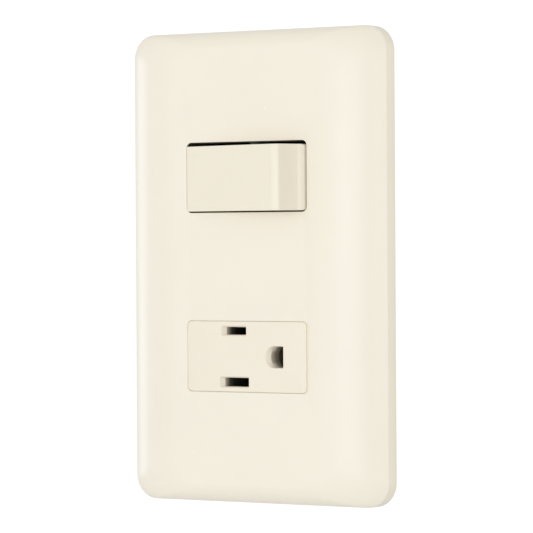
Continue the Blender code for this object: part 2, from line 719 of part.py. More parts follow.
def clamp_plate(name, x, z, parent, look):
    front = WELL_FLOOR + STRIP_THICK + 2 * GAP
    plate = box(name, (x - CLAMP_HALF, front, z - CLAMP_HALF),
                (x + CLAMP_HALF, front + CLAMP_THICK, z + CLAMP_HALF), parent)
    cut(plate, pad_hole(name + "_hole", x, z, parent))
    return finish_piece(plate, look)


# Receptacle

def ground_outline(steps=12):
    """D-shaped hole (x, z): round towards the blade slots and flat on the other side."""
    round_side = arc((GROUND_X, 0.0), GROUND_R, math.pi / 2, 3 * math.pi / 2, steps)
    return round_side + [(GROUND_X + GROUND_FLAT, -GROUND_R), (GROUND_X + GROUND_FLAT, GROUND_R)]


def receptacle_face(parent, look):
    face = box("receptacle_face", (-MODULE_HALF_X, -MODULE_FRONT, -MODULE_HALF_Z),
               (MODULE_HALF_X, FACE_BACK, MODULE_HALF_Z), parent)
    neck = rounded_rectangle(NECK_WIDTH, NECK_HEIGHT, WINDOW_CORNER - GAP, 4)
    join(face, prism("receptacle_neck", [neck], "Y", -PLATE_FACE, -MODULE_FRONT + MM, parent, CUTTERS))
    add_clips(face, "receptacle", parent)
    wall_back = FACE_WALL - PLATE_FACE
    hole_end = BODY_SCREW_END - GAP
    for side, (length, width) in ((1, HOT_SLOT), (-1, NEUTRAL_SLOT)):
        z = side * BLADE_Z
        cut(face, box("blade_slot", (BLADE_X - length / 2, -2 * PLATE_FACE, z - width / 2),
                      (BLADE_X + length / 2, wall_back + MM, z + width / 2), parent, CUTTERS))
        cut(face, box("blade_pocket", (BLADE_X - POCKET_HALF_X, wall_back, z - POCKET_HALF_Z),
                      (BLADE_X + POCKET_HALF_X, 2 * FACE_BACK, z + POCKET_HALF_Z), parent, CUTTERS))
        cut(face, cylinder("face_screw_hole", BODY_SCREW_R + GAP, "Y", hole_end, 2 * FACE_BACK,
                           (side * BODY_SCREW_X, 0.0), parent, CUTTERS))
    cut(face, prism("ground_hole", [ground_outline()], "Y", -2 * PLATE_FACE, wall_back + MM,
                    parent, CUTTERS))
    pocket = SLEEVE_R + SLEEVE_WALL
    cut(face, box("ground_pocket", (GROUND_X - pocket, wall_back, -pocket),
                  (GROUND_X + pocket, 2 * FACE_BACK, pocket), parent, CUTTERS))
    return finish_piece(face, look)


def receptacle_base(parent, look):
    body = box("receptacle_base", (-MODULE_HALF_X, FACE_BACK + GAP, -MODULE_HALF_Z),
               (MODULE_HALF_X, MODULE_BACK, MODULE_HALF_Z), parent)
    well_z = MODULE_HALF_Z - WELL_WALL
    line_x = (-LINE_WELL_END, -BARRIER_HALF)
    for side in (1, -1):
        z = side * BLADE_Z
        cell_low = (BLADE_X - POCKET_HALF_X, 0.0, z - CONTACT_CELL_HALF_Z)
        cell_high = (BLADE_X + POCKET_HALF_X, CONTACT_CELL_FLOOR, z + CONTACT_CELL_HALF_Z)
        cut(body, box("contact_cell", cell_low, cell_high, parent, CUTTERS),
            well_cutter("line_well", line_x, (side * BARRIER_HALF, side * well_z), parent),
            screw_hole("line_screw_hole", LINE_SCREW[0], side * LINE_SCREW[1], parent),
            strip_passage("line_passage", BLADE_X - STRIP_THICK / 2, LEAF_OUTER, z, parent,
                          CONTACT_CELL_FLOOR),
            cylinder("base_screw_hole", BODY_SCREW_R + GAP, "Y", -MM, MODULE_BACK + MM,
                     (side * BODY_SCREW_X, 0.0), parent, CUTTERS))
    cut(body, box("ground_cell", (GROUND_X - GROUND_CELL_HALF, 0.0, -GROUND_CELL_HALF),
                  (GROUND_X + GROUND_CELL_HALF, CONTACT_CELL_FLOOR, GROUND_CELL_HALF), parent, CUTTERS),
        well_cutter("ground_well", (BARRIER_HALF, LINE_WELL_END), (-well_z, well_z), parent),
        screw_hole("ground_screw_hole", GROUND_SCREW_X, 0.0, parent),
        strip_passage("ground_passage", GROUND_X - STRIP_THICK / 2, LEAF_OUTER, 0.0, parent,
                      CONTACT_CELL_FLOOR))
    return finish_piece(body, look)


def tail_outline(x, end):
    """Strip (x, y) from a contact's back through the floor to the screw's pad."""
    contact_back = CONTACT_CELL_FLOOR - GAP
    half = STRIP_THICK / 2
    rear_front = WELL_FLOOR + GAP + TAIL_TRIM
    rear_back = WELL_FLOOR + GAP + STRIP_THICK - TAIL_TRIM
    side = -1 if end < x else 1
    return [(x + side * half, contact_back - half), (x + side * half, rear_front), (end, rear_front),
            (end, rear_back), (x - side * half, rear_back), (x - side * half, contact_back - half)]


def contact_tail(contact, name, x, z, screw, parent):
    """Adds the tail from a contact at (x, z) to a pad with a hole at the screw's (x, z)."""
    end = screw[0] - math.copysign(TAIL_OVERLAP, screw[0] - x)
    tail_z = LEAF_OUTER - TAIL_TRIM
    tail = prism(name + "_tail", [tail_outline(x, end)], "Z", z - tail_z, z + tail_z, parent, CUTTERS)
    front = WELL_FLOOR + GAP
    pad = box(name + "_pad", (screw[0] - CLAMP_HALF, front, screw[1] - CLAMP_HALF),
              (screw[0] + CLAMP_HALF, front + STRIP_THICK, screw[1] + CLAMP_HALF), parent, CUTTERS)
    join(contact, tail, pad)
    cut(contact, pad_hole(name + "_hole", screw[0], screw[1], parent))


def line_contact(name, side, parent, look):
    """Two sprung leaves either side of a blade, with a tail to the terminal screw."""
    z = side * BLADE_Z
    back = CONTACT_CELL_FLOOR - GAP
    root = back - STRIP_THICK
    outline = [(LEAF_FRONT, z - LEAF_OUTER), (back, z - LEAF_OUTER), (back, z + LEAF_OUTER),
               (LEAF_FRONT, z + LEAF_OUTER), (LEAF_FRONT, z + LEAF_INNER), (root, z + LEAF_INNER),
               (root, z - LEAF_INNER), (LEAF_FRONT, z - LEAF_INNER)]
    contact = prism(name, [outline], "X", BLADE_X - LEAF_HALF_X, BLADE_X + LEAF_HALF_X, parent)
    contact_tail(contact, name, BLADE_X, z, (LINE_SCREW[0], side * LINE_SCREW[1]), parent)
    return finish_piece(contact, look)


def ground_contact(parent, look):
    """Split sleeve for the round ground pin, with a tail to the ground screw."""
    back = CONTACT_CELL_FLOOR - GAP
    centre = (GROUND_X, 0.0)
    contact = cylinder("ground_contact", SLEEVE_R + SLEEVE_WALL, "Y", LEAF_FRONT, back, centre, parent)
    cut(contact, cylinder("sleeve_bore", SLEEVE_R, "Y", 0.0, back - STRIP_THICK, centre, parent, CUTTERS),
        box("sleeve_split", (GROUND_X - 2 * SLEEVE_R, 0.0, -SLEEVE_SPLIT_HALF),
            (GROUND_X, back - 2 * STRIP_THICK, SLEEVE_SPLIT_HALF), parent, CUTTERS))
    contact_tail(contact, "ground_contact", GROUND_X, 0.0, (GROUND_SCREW_X, 0.0), parent)
    return finish_piece(contact, look)


def receptacle_screw(name, side, parent, look):
    """Long screw that holds the receptacle's two halves together."""
    seat = MODULE_BACK + GAP
    head_r = BODY_SCREW_HEAD_R
    back = seat + BODY_SCREW_HEAD_THICK
    profile = crown(head_r, back, -BODY_SCREW_CROWN)
    profile += [(head_r, seat), (BODY_SCREW_R, seat), (BODY_SCREW_R, BODY_SCREW_END), (0.0, BODY_SCREW_END)]
    place = axis_empty(name + "_axis", (side * BODY_SCREW_X, 0.0, 0.0), parent)
    return finish_piece(turned(name, profile, place, True), look)


def build_switch(looks):
    module = axis_empty("switch_module", (0.0, 0.0, MODULE_Z))
    rocker_axis = axis_empty("rocker_axis", (0.0, -PIVOT_DEPTH, -ROCKER_DROP), module)
    plunger_axis = axis_empty("plunger_axis", (0.0, 0.0, 0.0), rocker_axis, -ROCKER_STROKE / 2)
    lever_axis = axis_empty("lever_axis", (0.0, LEVER_DEPTH, 0.0), module, LEVER_TILT)
    switch_housing(module, looks["grey"])
    switch_rocker(rocker_axis, plunger_axis, looks["ivory"])
    rocker_plunger(plunger_axis, looks["grey"])
    plunger_spring(plunger_axis, looks["steel"])
    seat = axis_empty("moving_contact_axis", (-CONTACT_X, -CONTACT_X * math.tan(LEVER_BEND), 0.0),
                      lever_axis, LEVER_BEND)
    contact_lever(lever_axis, seat, looks["brass"])
    moving_contact(seat, looks["silver"])
    fixed_contact(module, looks["silver"])
    fixed_terminal(module, looks["brass"])
    common_terminal(module, looks["brass"])
    for word, side in (("left", -1), ("right", 1)):
        terminal_screw("switch_screw_" + word, side * SWITCH_SCREW_X, 0.0, module, looks["brass"])
        clamp_plate("switch_clamp_" + word, side * SWITCH_SCREW_X, 0.0, module, looks["steel"])


def build_receptacle(looks):
    module = axis_empty("receptacle_module", (0.0, 0.0, -MODULE_Z))
    receptacle_face(module, looks["ivory"])
    receptacle_base(module, looks["grey"])
    ground_contact(module, looks["brass"])
    for word, side, finish in (("hot", 1, "brass"), ("neutral", -1, "silver")):
        line_contact(word + "_contact", side, module, looks["brass"])
        terminal_screw(word + "_screw", LINE_SCREW[0], side * LINE_SCREW[1], module, looks[finish])
        clamp_plate(word + "_clamp", LINE_SCREW[0], side * LINE_SCREW[1], module, looks["steel"])
    terminal_screw("ground_screw", GROUND_SCREW_X, 0.0, module, looks["green"])
    clamp_plate("ground_clamp", GROUND_SCREW_X, 0.0, module, looks["steel"])
    for word, side in (("left", -1), ("right", 1)):
        receptacle_screw("receptacle_screw_" + word, side, module, looks["steel"])


def build():
    global PARTS, CUTTERS
    clear_scene()
    PARTS = new_collection("wall_switch_plate")
    CUTTERS = new_collection("cutters")
    looks = {
        "ivory": material("ivory_plastic", IVORY, 0.28),
        "grey": material("module_plastic", MODULE_GREY, 0.5),
        "steel": material("zinc_steel", STEEL, 0.35, 1.0),
        "brass": material("brass", BRASS, 0.35, 1.0),
        "silver": material("silver_contact", SILVER, 0.3, 1.0),
        "green": material("green_screw", GREEN, 0.4, 0.6),
        "fibre": material("red_fibre", FIBRE, 0.8),
    }
    cover_plate(looks["ivory"])
    mounting_strap(looks["steel"])
    for word, side in (("upper", 1), ("lower", -1)):
        box_screw("box_screw_" + word, side, looks["steel"])
        screw_retainer("screw_retainer_" + word, side, looks["fibre"])
    build_switch(looks)
    build_receptacle(looks)


build()
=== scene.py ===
"""Looks of the wall plate: smooth moulded covers, threaded screws, metal parts and studio light."""
import json
import math

import bmesh
import bpy
from mathutils import Matrix, Vector

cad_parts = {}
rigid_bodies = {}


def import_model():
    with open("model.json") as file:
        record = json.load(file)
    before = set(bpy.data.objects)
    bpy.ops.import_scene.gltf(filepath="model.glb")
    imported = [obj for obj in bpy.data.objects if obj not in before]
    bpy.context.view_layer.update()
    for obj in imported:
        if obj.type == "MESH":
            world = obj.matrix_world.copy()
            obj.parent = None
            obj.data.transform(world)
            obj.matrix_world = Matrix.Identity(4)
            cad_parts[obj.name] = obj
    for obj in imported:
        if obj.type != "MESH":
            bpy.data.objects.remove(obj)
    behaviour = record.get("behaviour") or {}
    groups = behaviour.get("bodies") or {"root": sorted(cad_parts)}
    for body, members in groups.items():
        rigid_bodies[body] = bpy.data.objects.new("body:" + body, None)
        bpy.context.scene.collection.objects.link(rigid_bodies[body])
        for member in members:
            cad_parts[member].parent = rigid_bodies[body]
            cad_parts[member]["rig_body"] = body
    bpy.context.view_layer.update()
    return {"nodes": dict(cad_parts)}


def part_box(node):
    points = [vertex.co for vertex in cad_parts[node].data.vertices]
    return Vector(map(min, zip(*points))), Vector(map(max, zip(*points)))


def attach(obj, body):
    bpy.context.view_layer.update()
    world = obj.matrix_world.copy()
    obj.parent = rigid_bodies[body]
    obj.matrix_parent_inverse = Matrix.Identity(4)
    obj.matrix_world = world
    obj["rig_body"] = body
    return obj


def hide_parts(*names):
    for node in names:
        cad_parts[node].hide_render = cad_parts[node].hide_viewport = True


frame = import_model()

MM = 0.001

# Cover plate
PLATE_EDGE = 3.6 * MM
PLATE_FLAT_HALF = 22.0 * MM
PLATE_ROLL_RUN = 4.8 * MM
PLATE_CORNER = 6.0 * MM
PLATE_BLEND_CORNER = 9.0 * MM
PLATE_WALL = 2.0 * MM
EDGE_RADIUS = 0.45 * MM
RIM_RADIUS = 0.25 * MM
PLATE_FRONT_STEPS = 40
PLATE_BACK_STEPS = 18
PLATE_EDGE_STEPS = 6
RIM_STEPS = 3

# Windows, as (centre z, centre x, half width, half height, undercut behind the lip)
WINDOWS = ((22.1 * MM, 0.08 * MM, 17.78 * MM, 8.7 * MM, 0.9 * MM),
           (-22.05 * MM, 0.25 * MM, 17.95 * MM, 8.78 * MM, 0.1 * MM))
WINDOW_CORNER = 1.3 * MM
WINDOW_EDGE = 0.08 * MM
WINDOW_LIP = 0.35 * MM
MODULE_Z = 22.0 * MM
PIVOT_DEPTH = 5.0 * MM

# Steps in the quarter round on the edge of a window, of the rocker or of the receptacle
LIP_STEPS = 4

# Angle in degrees from which an edge is shaded sharp
SHARP = 35.0

# Distances along Y over which a slot's walls are painted from ivory to dark, as painted shade deep in the
# slot
SLOT_LIGHT_END = -8.2 * MM
SLOT_DARK_START = -5.9 * MM


def srgb(red, green, blue):
    """Display colour, 0 to 255, as the linear values that shaders take."""
    def linear(value):
        value /= 255
        return value / 12.92 if value <= 0.04045 else ((value + 0.055) / 1.055) ** 2.4
    return (linear(red), linear(green), linear(blue), 1.0)


# Materials

class Shader:
    """Principled material with a few procedural helpers."""

    def __init__(self, name, colour, roughness, metallic=0.0, ior=1.5):
        self.material = bpy.data.materials.new(name)
        self.material.use_nodes = True
        self.tree = self.material.node_tree
        self.surface = self.tree.nodes["Principled BSDF"]
        self.surface.inputs["Base Color"].default_value = colour
        self.surface.inputs["Roughness"].default_value = roughness
        self.surface.inputs["Metallic"].default_value = metallic
        self.surface.inputs["IOR"].default_value = ior
        self.place = self.tree.nodes.new("ShaderNodeTexCoord").outputs["Object"]

    def noise(self, scale, detail=3.0, stretch=(1.0, 1.0, 1.0)):
        """Noise in object space; scale is in features per metre."""
        mapping = self.tree.nodes.new("ShaderNodeMapping")
        mapping.inputs["Scale"].default_value = stretch
        self.tree.links.new(self.place, mapping.inputs["Vector"])
        noise = self.tree.nodes.new("ShaderNodeTexNoise")
        noise.inputs["Scale"].default_value = scale
        noise.inputs["Detail"].default_value = detail
        self.tree.links.new(mapping.outputs["Vector"], noise.inputs["Vector"])
        return noise.outputs["Fac"]

    def depth(self, start, end):
        """0 to 1 between two distances along Y."""
        split = self.tree.nodes.new("ShaderNodeSeparateXYZ")
        self.tree.links.new(self.place, split.inputs["Vector"])
        spread = self.tree.nodes.new("ShaderNodeMapRange")
        spread.inputs["From Min"].default_value = start
        spread.inputs["From Max"].default_value = end
        self.tree.links.new(split.outputs["Y"], spread.inputs["Value"])
        return spread.outputs["Result"]

    def vary_colour(self, factor, low, high, positions=(0.3, 0.7)):
        ramp = self.tree.nodes.new("ShaderNodeValToRGB")
        ramp.color_ramp.elements[0].position = positions[0]
        ramp.color_ramp.elements[0].color = low
        ramp.color_ramp.elements[1].position = positions[1]
        ramp.color_ramp.elements[1].color = high
        self.tree.links.new(factor, ramp.inputs["Fac"])
        self.tree.links.new(ramp.outputs["Color"], self.surface.inputs["Base Color"])

    def vary_roughness(self, factor, low, high):
        spread = self.tree.nodes.new("ShaderNodeMapRange")
        spread.inputs["To Min"].default_value = low
        spread.inputs["To Max"].default_value = high
        self.tree.links.new(factor, spread.inputs["Value"])
        self.tree.links.new(spread.outputs["Result"], self.surface.inputs["Roughness"])

    def bump(self, factor, depth, strength):
        bump = self.tree.nodes.new("ShaderNodeBump")
        bump.inputs["Strength"].default_value = strength
        bump.inputs["Distance"].default_value = depth
        self.tree.links.new(factor, bump.inputs["Height"])
        self.tree.links.new(bump.outputs["Normal"], self.surface.inputs["Normal"])


def tinted(colour, factor):
    return (colour[0] * factor, colour[1] * factor, colour[2] * factor, 1.0)


def ivory_plastic(name, colour, roughness):
    """Glossy moulded plastic: faint colour clouds, polish that varies and a very fine skin."""
    shader = Shader(name, colour, roughness)
    shader.vary_colour(shader.noise(60.0), tinted(colour, 0.992), tinted(colour, 1.008))
    shader.vary_roughness(shader.noise(140.0), roughness - 0.03, roughness + 0.03)
    shader.bump(shader.noise(5200.0, 2.0), 0.002 * MM, 0.25)
    return shader.material


def module_plastic():
    """Matt engineering plastic with a spark-eroded skin."""
    colour = srgb(92, 91, 88)
    shader = Shader("module_plastic", colour, 0.55)
    shader.vary_colour(shader.noise(300.0), tinted(colour, 0.9), tinted(colour, 1.1))
    shader.vary_roughness(shader.noise(900.0), 0.48, 0.64)
    shader.bump(shader.noise(6000.0, 2.0), 0.01 * MM, 0.5)
    return shader.material


def slot_painted_shade(name, colour, painted_shade_colour):
    """Ivory lead-in painted darker down a slot as painted shade, with a faint mottle."""
    shader = Shader(name, colour, 0.5)
    shader.vary_colour(shader.depth(SLOT_LIGHT_END, SLOT_DARK_START), colour, painted_shade_colour, (0.0, 1.0))
    shader.vary_roughness(shader.noise(500.0), 0.42, 0.6)
    return shader.material


def metal(name, colour, roughness, grain, streak=(1.0, 1.0, 1.0), contrast=0.12):
    """Bare or plated metal with a fine, possibly directional, grain."""
    shader = Shader(name, colour, roughness, 1.0)
    streaks = shader.noise(grain, 4.0, streak)
    dull, bright = tinted(colour, 1 - contrast), tinted(colour, 1 + contrast / 2)
    shader.vary_colour(shader.noise(grain / 8), dull, bright)
    shader.vary_roughness(streaks, roughness - 0.08, roughness + 0.1)
    shader.bump(streaks, 0.01 * MM, 0.3)
    return shader.material


def fibre():
    """Red vulcanised fibre with pressed fibres along it."""
    colour = srgb(142, 66, 50)
    shader = Shader("red_fibre", colour, 0.8)
    shader.vary_colour(shader.noise(900.0, 4.0, (1.0, 1.0, 5.0)), tinted(colour, 0.75), tinted(colour, 1.2))
    shader.bump(shader.noise(2500.0), 0.03 * MM, 0.5)
    return shader.material


IVORY = srgb(245, 237, 220)
RECEPTACLE = srgb(244, 234, 215)
looks = {
    "ivory": ivory_plastic("ivory_plastic", IVORY, 0.26),
    "rocker": ivory_plastic("rocker_plastic", srgb(244, 235, 215), 0.25),
    "receptacle": ivory_plastic("receptacle_plastic", RECEPTACLE, 0.34),
    "module": module_plastic(),
    # Slot walls painted from ivory to dark with depth as painted shade; the D hole's painted shade is lighter
    "painted_slot_shade": slot_painted_shade("slot_painted_shade", RECEPTACLE, srgb(100, 97, 90)),
    "painted_ground_shade": slot_painted_shade("ground_slot_painted_shade", RECEPTACLE, srgb(168, 162, 147)),
    "steel": metal("zinc_steel", srgb(196, 198, 200), 0.34, 900.0, (1.0, 1.0, 0.12)),
    "screw_steel": metal("screw_steel", srgb(205, 206, 208), 0.28, 1500.0),
    "brass": metal("brass", srgb(216, 178, 104), 0.3, 900.0, (0.15, 1.0, 1.0)),
    "silver": metal("silver", srgb(226, 225, 220), 0.24, 1800.0),
    "green": metal("green_screw", srgb(74, 132, 84), 0.36, 1500.0, (1.0, 1.0, 1.0), 0.2),
    "fibre": fibre(),
}


# Mesh helpers

def corner_loop(half_x, half_z, corner, y, centre_z=0.0, centre_x=0.0, steps=12):
    """Rounded rectangle at one depth, as points going round from the lower right corner."""
    points = []
    for index, (sx, sz) in enumerate(((1, -1), (1, 1), (-1, 1), (-1, -1))):
        start = (index - 1) * math.pi / 2
        for step in range(steps + 1):
            angle = start + math.pi / 2 * step / steps
            points.append(Vector((centre_x + sx * (half_x - corner) + corner * math.cos(angle), y,
                                  centre_z + sz * (half_z - corner) + corner * math.sin(angle))))
    return points


def add_loop(shape, points):
    return [shape.verts.new(point) for point in points]


def bridge(shape, first, second, material=0):
    """Quads between two closed loops with the same number of points."""
    count = len(first)
    for i in range(count):
        j = (i + 1) % count
        face = shape.faces.new((first[i], first[j], second[j], second[i]))
        face.material_index = material


def bridge_all(shape, loops, material=0):
    for first, second in zip(loops, loops[1:]):
        bridge(shape, first, second, material)


def loop_edges(shape, loop):
    return [shape.edges.get((a, b)) or shape.edges.new((a, b)) for a, b in zip(loop, loop[1:] + loop[:1])]


def fill_between(shape, loops):
    """Flat face bounded by an outer loop, with the other loops as its holes."""
    edges = []
    for loop in loops:
        edges += loop_edges(shape, loop)
    bmesh.ops.triangle_fill(shape, edges=edges, use_beauty=True, use_dissolve=False)


def finish_mesh(name, shape, materials, sharp=SHARP):
    bmesh.ops.recalc_face_normals(shape, faces=shape.faces)
    mesh = bpy.data.meshes.new(name)
    shape.to_mesh(mesh)
    shape.free()
    for made in materials:
        mesh.materials.append(made)
    mesh.shade_smooth()
    mesh.set_sharp_from_angle(angle=math.radians(sharp))
    piece = bpy.data.objects.new(name, mesh)
    bpy.context.scene.collection.objects.link(piece)
    return piece


def stand_for(piece, body, slot, *nodes):
    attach(piece, body)
    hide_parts(*nodes)
    return piece


# Cover plate

def plate_rings(inset, blend_corner, steps):
    """Contours of the plate's front at falling heights, as (half_x, half_z, corner, height)."""
    low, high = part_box("cover_plate")
    half_x, half_z, face = high.x, high.z, -low.y
    run = half_x - PLATE_FLAT_HALF
    drop = face - PLATE_EDGE
    radius = (run ** 2 + drop ** 2) / (2 * drop)
    inner_radius = radius - inset
    inner_drop = inner_radius - math.sqrt(inner_radius ** 2 - (run - inset) ** 2)
    rings = []
    for step in range(steps + 1):
        fall = inner_drop * (step / steps) ** 2
        x = PLATE_FLAT_HALF + math.sqrt(inner_radius ** 2 - (inner_radius - fall) ** 2)
        roll = math.sqrt(max(0.0, 1 - (1 - fall / inner_drop) ** 2))
        z = half_z - PLATE_ROLL_RUN + (PLATE_ROLL_RUN - inset) * roll
        corner = blend_corner + (PLATE_CORNER - inset - blend_corner) * (step / steps)
        rings.append((x, z, corner, face - inset - fall))
    return rings


def plate_front_loops(shape):
    """Front, rounded edge, straight side and rim of the plate, from the flat face outwards."""
    low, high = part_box("cover_plate")
    rings = plate_rings(0.0, PLATE_BLEND_CORNER, PLATE_FRONT_STEPS)
    run = high.x - PLATE_FLAT_HALF
    drop = -low.y - PLATE_EDGE
    slope = math.asin(run / ((run ** 2 + drop ** 2) / (2 * drop)))
    tangent = EDGE_RADIUS * math.tan((math.pi / 2 - slope) / 2)
    last_x = high.x - tangent * math.cos(slope)
    rings = [ring for ring in rings if ring[0] < last_x]
    for step in range(PLATE_EDGE_STEPS + 1):
        angle = slope + (math.pi / 2 - slope) * step / PLATE_EDGE_STEPS
        height = PLATE_EDGE - tangent + EDGE_RADIUS * math.cos(angle)
        fall = (PLATE_EDGE + drop - height) / drop
        roll = math.sqrt(max(0.0, 1 - (1 - min(fall, 1.0)) ** 2))
        half_z = high.z - PLATE_ROLL_RUN * (1 - roll)
        rings.append((high.x - EDGE_RADIUS * (1 - math.sin(angle)), half_z, PLATE_CORNER, height))
    for step in range(RIM_STEPS + 1):
        angle = math.pi / 2 * step / RIM_STEPS
        inset = RIM_RADIUS * (1 - math.cos(angle))
        height = RIM_RADIUS * (1 - math.sin(angle))
        rings.append((high.x - inset, high.z - inset, PLATE_CORNER - inset, height))
    return [add_loop(shape, corner_loop(x, z, corner, -height)) for x, z, corner, height in rings]


def plate_back_loops(shape):
    """Rim's inner edge and the hollow behind the front, ending at its flat middle."""
    rings = plate_rings(PLATE_WALL, PLATE_BLEND_CORNER - PLATE_WALL, PLATE_BACK_STEPS)
    rings.reverse()
    rings.insert(0, (*rings[0][:3], 0.0))
    return [add_loop(shape, corner_loop(x, z, corner, -height)) for x, z, corner, height in rings]


def window_loops(shape, centre_z, centre_x, half_x, half_z, undercut, front, back):
    """A window's rounded front edge, its thin lip and the wall behind it."""
    steps = []
    for step in range(LIP_STEPS + 1):
        angle = math.pi / 2 * step / LIP_STEPS
        steps.append((WINDOW_EDGE * (1 - math.sin(angle)), front + WINDOW_EDGE * (1 - math.cos(angle))))
    steps += [(0.0, front + WINDOW_LIP), (undercut, front + WINDOW_LIP), (undercut, back)]
    loops = []
    for grow, depth in steps:
        corner = WINDOW_CORNER + grow
        points = corner_loop(half_x + grow, half_z + grow, corner, depth, centre_z, centre_x)
        loops.append(add_loop(shape, points))
    return loops


def cover_plate():
    low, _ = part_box("cover_plate")
    shape = bmesh.new()
    front = plate_front_loops(shape)
    back = plate_back_loops(shape)
    bridge_all(shape, front)
    bridge(shape, front[-1], back[0])
    bridge_all(shape, back)
    windows = [window_loops(shape, *window, low.y, low.y + PLATE_WALL) for window in WINDOWS]
    for loops in windows:
        bridge_all(shape, loops)
    fill_between(shape, [front[0]] + [loops[0] for loops in windows])
    fill_between(shape, [back[-1]] + [loops[-1] for loops in windows])
    piece = finish_mesh("cover_plate_shell", shape, [looks["ivory"]])
    return stand_for(piece, "cover", "ivory", "cover_plate")


def add_block(shape, low, high):
    """Plain box between two corners."""
    size = Vector(high) - Vector(low)
    centre = (Vector(high) + Vector(low)) / 2
    place = Matrix.Translation(centre) @ Matrix.Diagonal((*size, 1.0))
    bmesh.ops.create_cube(shape, size=1.0, matrix=place)


def rounded_box(name, low, high, radius, look):
    shape = bmesh.new()
    add_block(shape, low, high)
    edges = list(shape.edges)
    bmesh.ops.bevel(shape, geom=edges, offset=radius, segments=2, profile=0.5, affect="EDGES")
    return finish_mesh(name, shape, [look])


LEG_INNER = 24.0 * MM
LEG_THICK = 1.6 * MM
LEG_HALF_WIDTH = 4.0 * MM
LEG_Z = 30.0 * MM
LEG_FRONT = -7.9 * MM
LEG_BACK = -0.6 * MM
LEG_ROUND = 0.25 * MM


def snap_legs():
    """Four legs inside the plate that grip the strap's edges."""
    for x_word, x_side in (("left", -1), ("right", 1)):
        for z_word, z_side in (("upper", 1), ("lower", -1)):
            xs = sorted((x_side * LEG_INNER, x_side * (LEG_INNER + LEG_THICK)))
            low = (xs[0], LEG_FRONT, z_side * LEG_Z - LEG_HALF_WIDTH)
            high = (xs[1], LEG_BACK, z_side * LEG_Z + LEG_HALF_WIDTH)
            leg = rounded_box(f"snap_leg_{z_word}_{x_word}", low, high, LEG_ROUND, looks["ivory"])
            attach(leg, "cover")


# Rocker

ROCKER_END_X = 17.6 * MM
ROCKER_END_R = 17.6 * MM
ROCKER_SKIRT = 4.5 * MM
ROCKER_FLUSH = 4.2 * MM
ROCKER_CREST = (13.2 * MM, 11.2 * MM)
ROCKER_NOSE_FOOT = (16.45 * MM, 5.55 * MM)
ROCKER_NOSE_END = 4.465 * MM
NOSE_END_R = 18.0 * MM
ROCKER_HALF_Z = 8.04 * MM
ROCKER_MIDDLE_Z = 21.79 * MM
ROCKER_EDGE = 0.1 * MM
ROCKER_WALL = 1.7 * MM
ROCKER_INNER_CORNER = 0.1 * MM

# Plan corners at the left and right ends
UPPER_CORNERS = (0.2 * MM, 0.8 * MM)
LOWER_CORNERS = (0.55 * MM, 0.8 * MM)

# Plunger's boss and the hinge pins, measured from the pivot
BOSS_R = 3.6 * MM
BOSS_TOP = -6.9 * MM
BOSS_END = 6.2 * MM
BORE_R = 2.3 * MM
BORE_TOP = -5.8 * MM
TRUNNION_R = 1.2 * MM
TRUNNION_START = 7.2 * MM
TRUNNION_END = 9.9 * MM
TRUNNION_EDGE = 0.15 * MM
PLUNGER_LEAN = -11.0

# Rounded crest, as (radius, normal's angle at its end) from the face to the nose
CREST_ARCS = ((1.2 * MM, 3.0), (4.4 * MM, 24.0), (0.4 * MM, 68.0))
CREST_START = 1.35 * MM
ARC_STEPS = 8
NOSE_FOOT_NORMAL = 35.0
NOSE_ROLL = ((3.4 * MM, 60.0),)
NOSE_STEPS = 16
FACE_STEPS = 30
SIDE_STEPS = 8
CORNER_STEPS = 8


def add_arcs(points, normal, arcs):
    """Append arcs that follow on from the last point, and return the last normal's angle."""
    x, height = points[-1]
    for radius, end in arcs:
        turn = (math.radians(end) - normal) / ARC_STEPS
        for _ in range(ARC_STEPS):
            middle = normal + turn / 2
            x += radius * turn * math.cos(middle)
            height -= radius * turn * math.sin(middle)
            normal += turn
            points.append((x, height))
    return normal


def rocker_profile():
    """Points (x, height above the pivot) over the rocker's face, banded crest and hollowed nose."""
    face = math.atan2(ROCKER_CREST[1] - ROCKER_FLUSH, ROCKER_CREST[0] + ROCKER_END_X)
    points = [(-ROCKER_END_X, ROCKER_FLUSH)]
    x = ROCKER_CREST[0] - CREST_START * math.cos(face)
    height = ROCKER_CREST[1] - CREST_START * math.sin(face)
    points.append((x, height))
    normal = add_arcs(points, -face, CREST_ARCS)
    start, end = Vector(points[-1]), Vector(ROCKER_NOSE_FOOT)
    final = math.radians(NOSE_FOOT_NORMAL)
    leave = Vector((math.cos(normal), -math.sin(normal)))
    arrive = Vector((math.cos(final), -math.sin(final)))
    gap = end - start
    along = (gap.x * arrive.y - gap.y * arrive.x) / (leave.x * arrive.y - leave.y * arrive.x)
    bend = start + leave * along
    for step in range(1, NOSE_STEPS + 1):
        t = step / NOSE_STEPS
        points.append(tuple(start.lerp(bend, t).lerp(bend.lerp(end, t), t)))
    add_arcs(points, final, NOSE_ROLL)
    return points


def height_at(profile, x):
    for (x0, h0), (x1, h1) in zip(profile, profile[1:]):
        if x <= x1:
            return h0 + (h1 - h0) * (x - x0) / (x1 - x0)
    return profile[-1][1]


def end_width(radius, height):
    return math.sqrt(radius ** 2 - height ** 2)


def rocker_stations(profile, left, right, inset, corners):
    """Upper half of a plan outline, left to right, as (x, z): a corner, the long side and a corner."""
    near, far = (max(corner - inset, ROCKER_INNER_CORNER) for corner in corners)
    half_z = ROCKER_HALF_Z - inset
    points = []
    for step in range(CORNER_STEPS):
        angle = math.pi - math.pi / 2 * step / CORNER_STEPS
        points.append((left + near + near * math.cos(angle), half_z - near + near * math.sin(angle)))
    first, last = profile[0][0], profile[-1][0]
    for x, _ in profile:
        along = (x - first) / (last - first)
        points.append((left + near + (right - left - near - far) * along, half_z))
    for step in range(1, CORNER_STEPS + 1):
        angle = math.pi / 2 - math.pi / 2 * step / CORNER_STEPS
        points.append((right - far + far * math.cos(angle), half_z - far + far * math.sin(angle)))
    return points


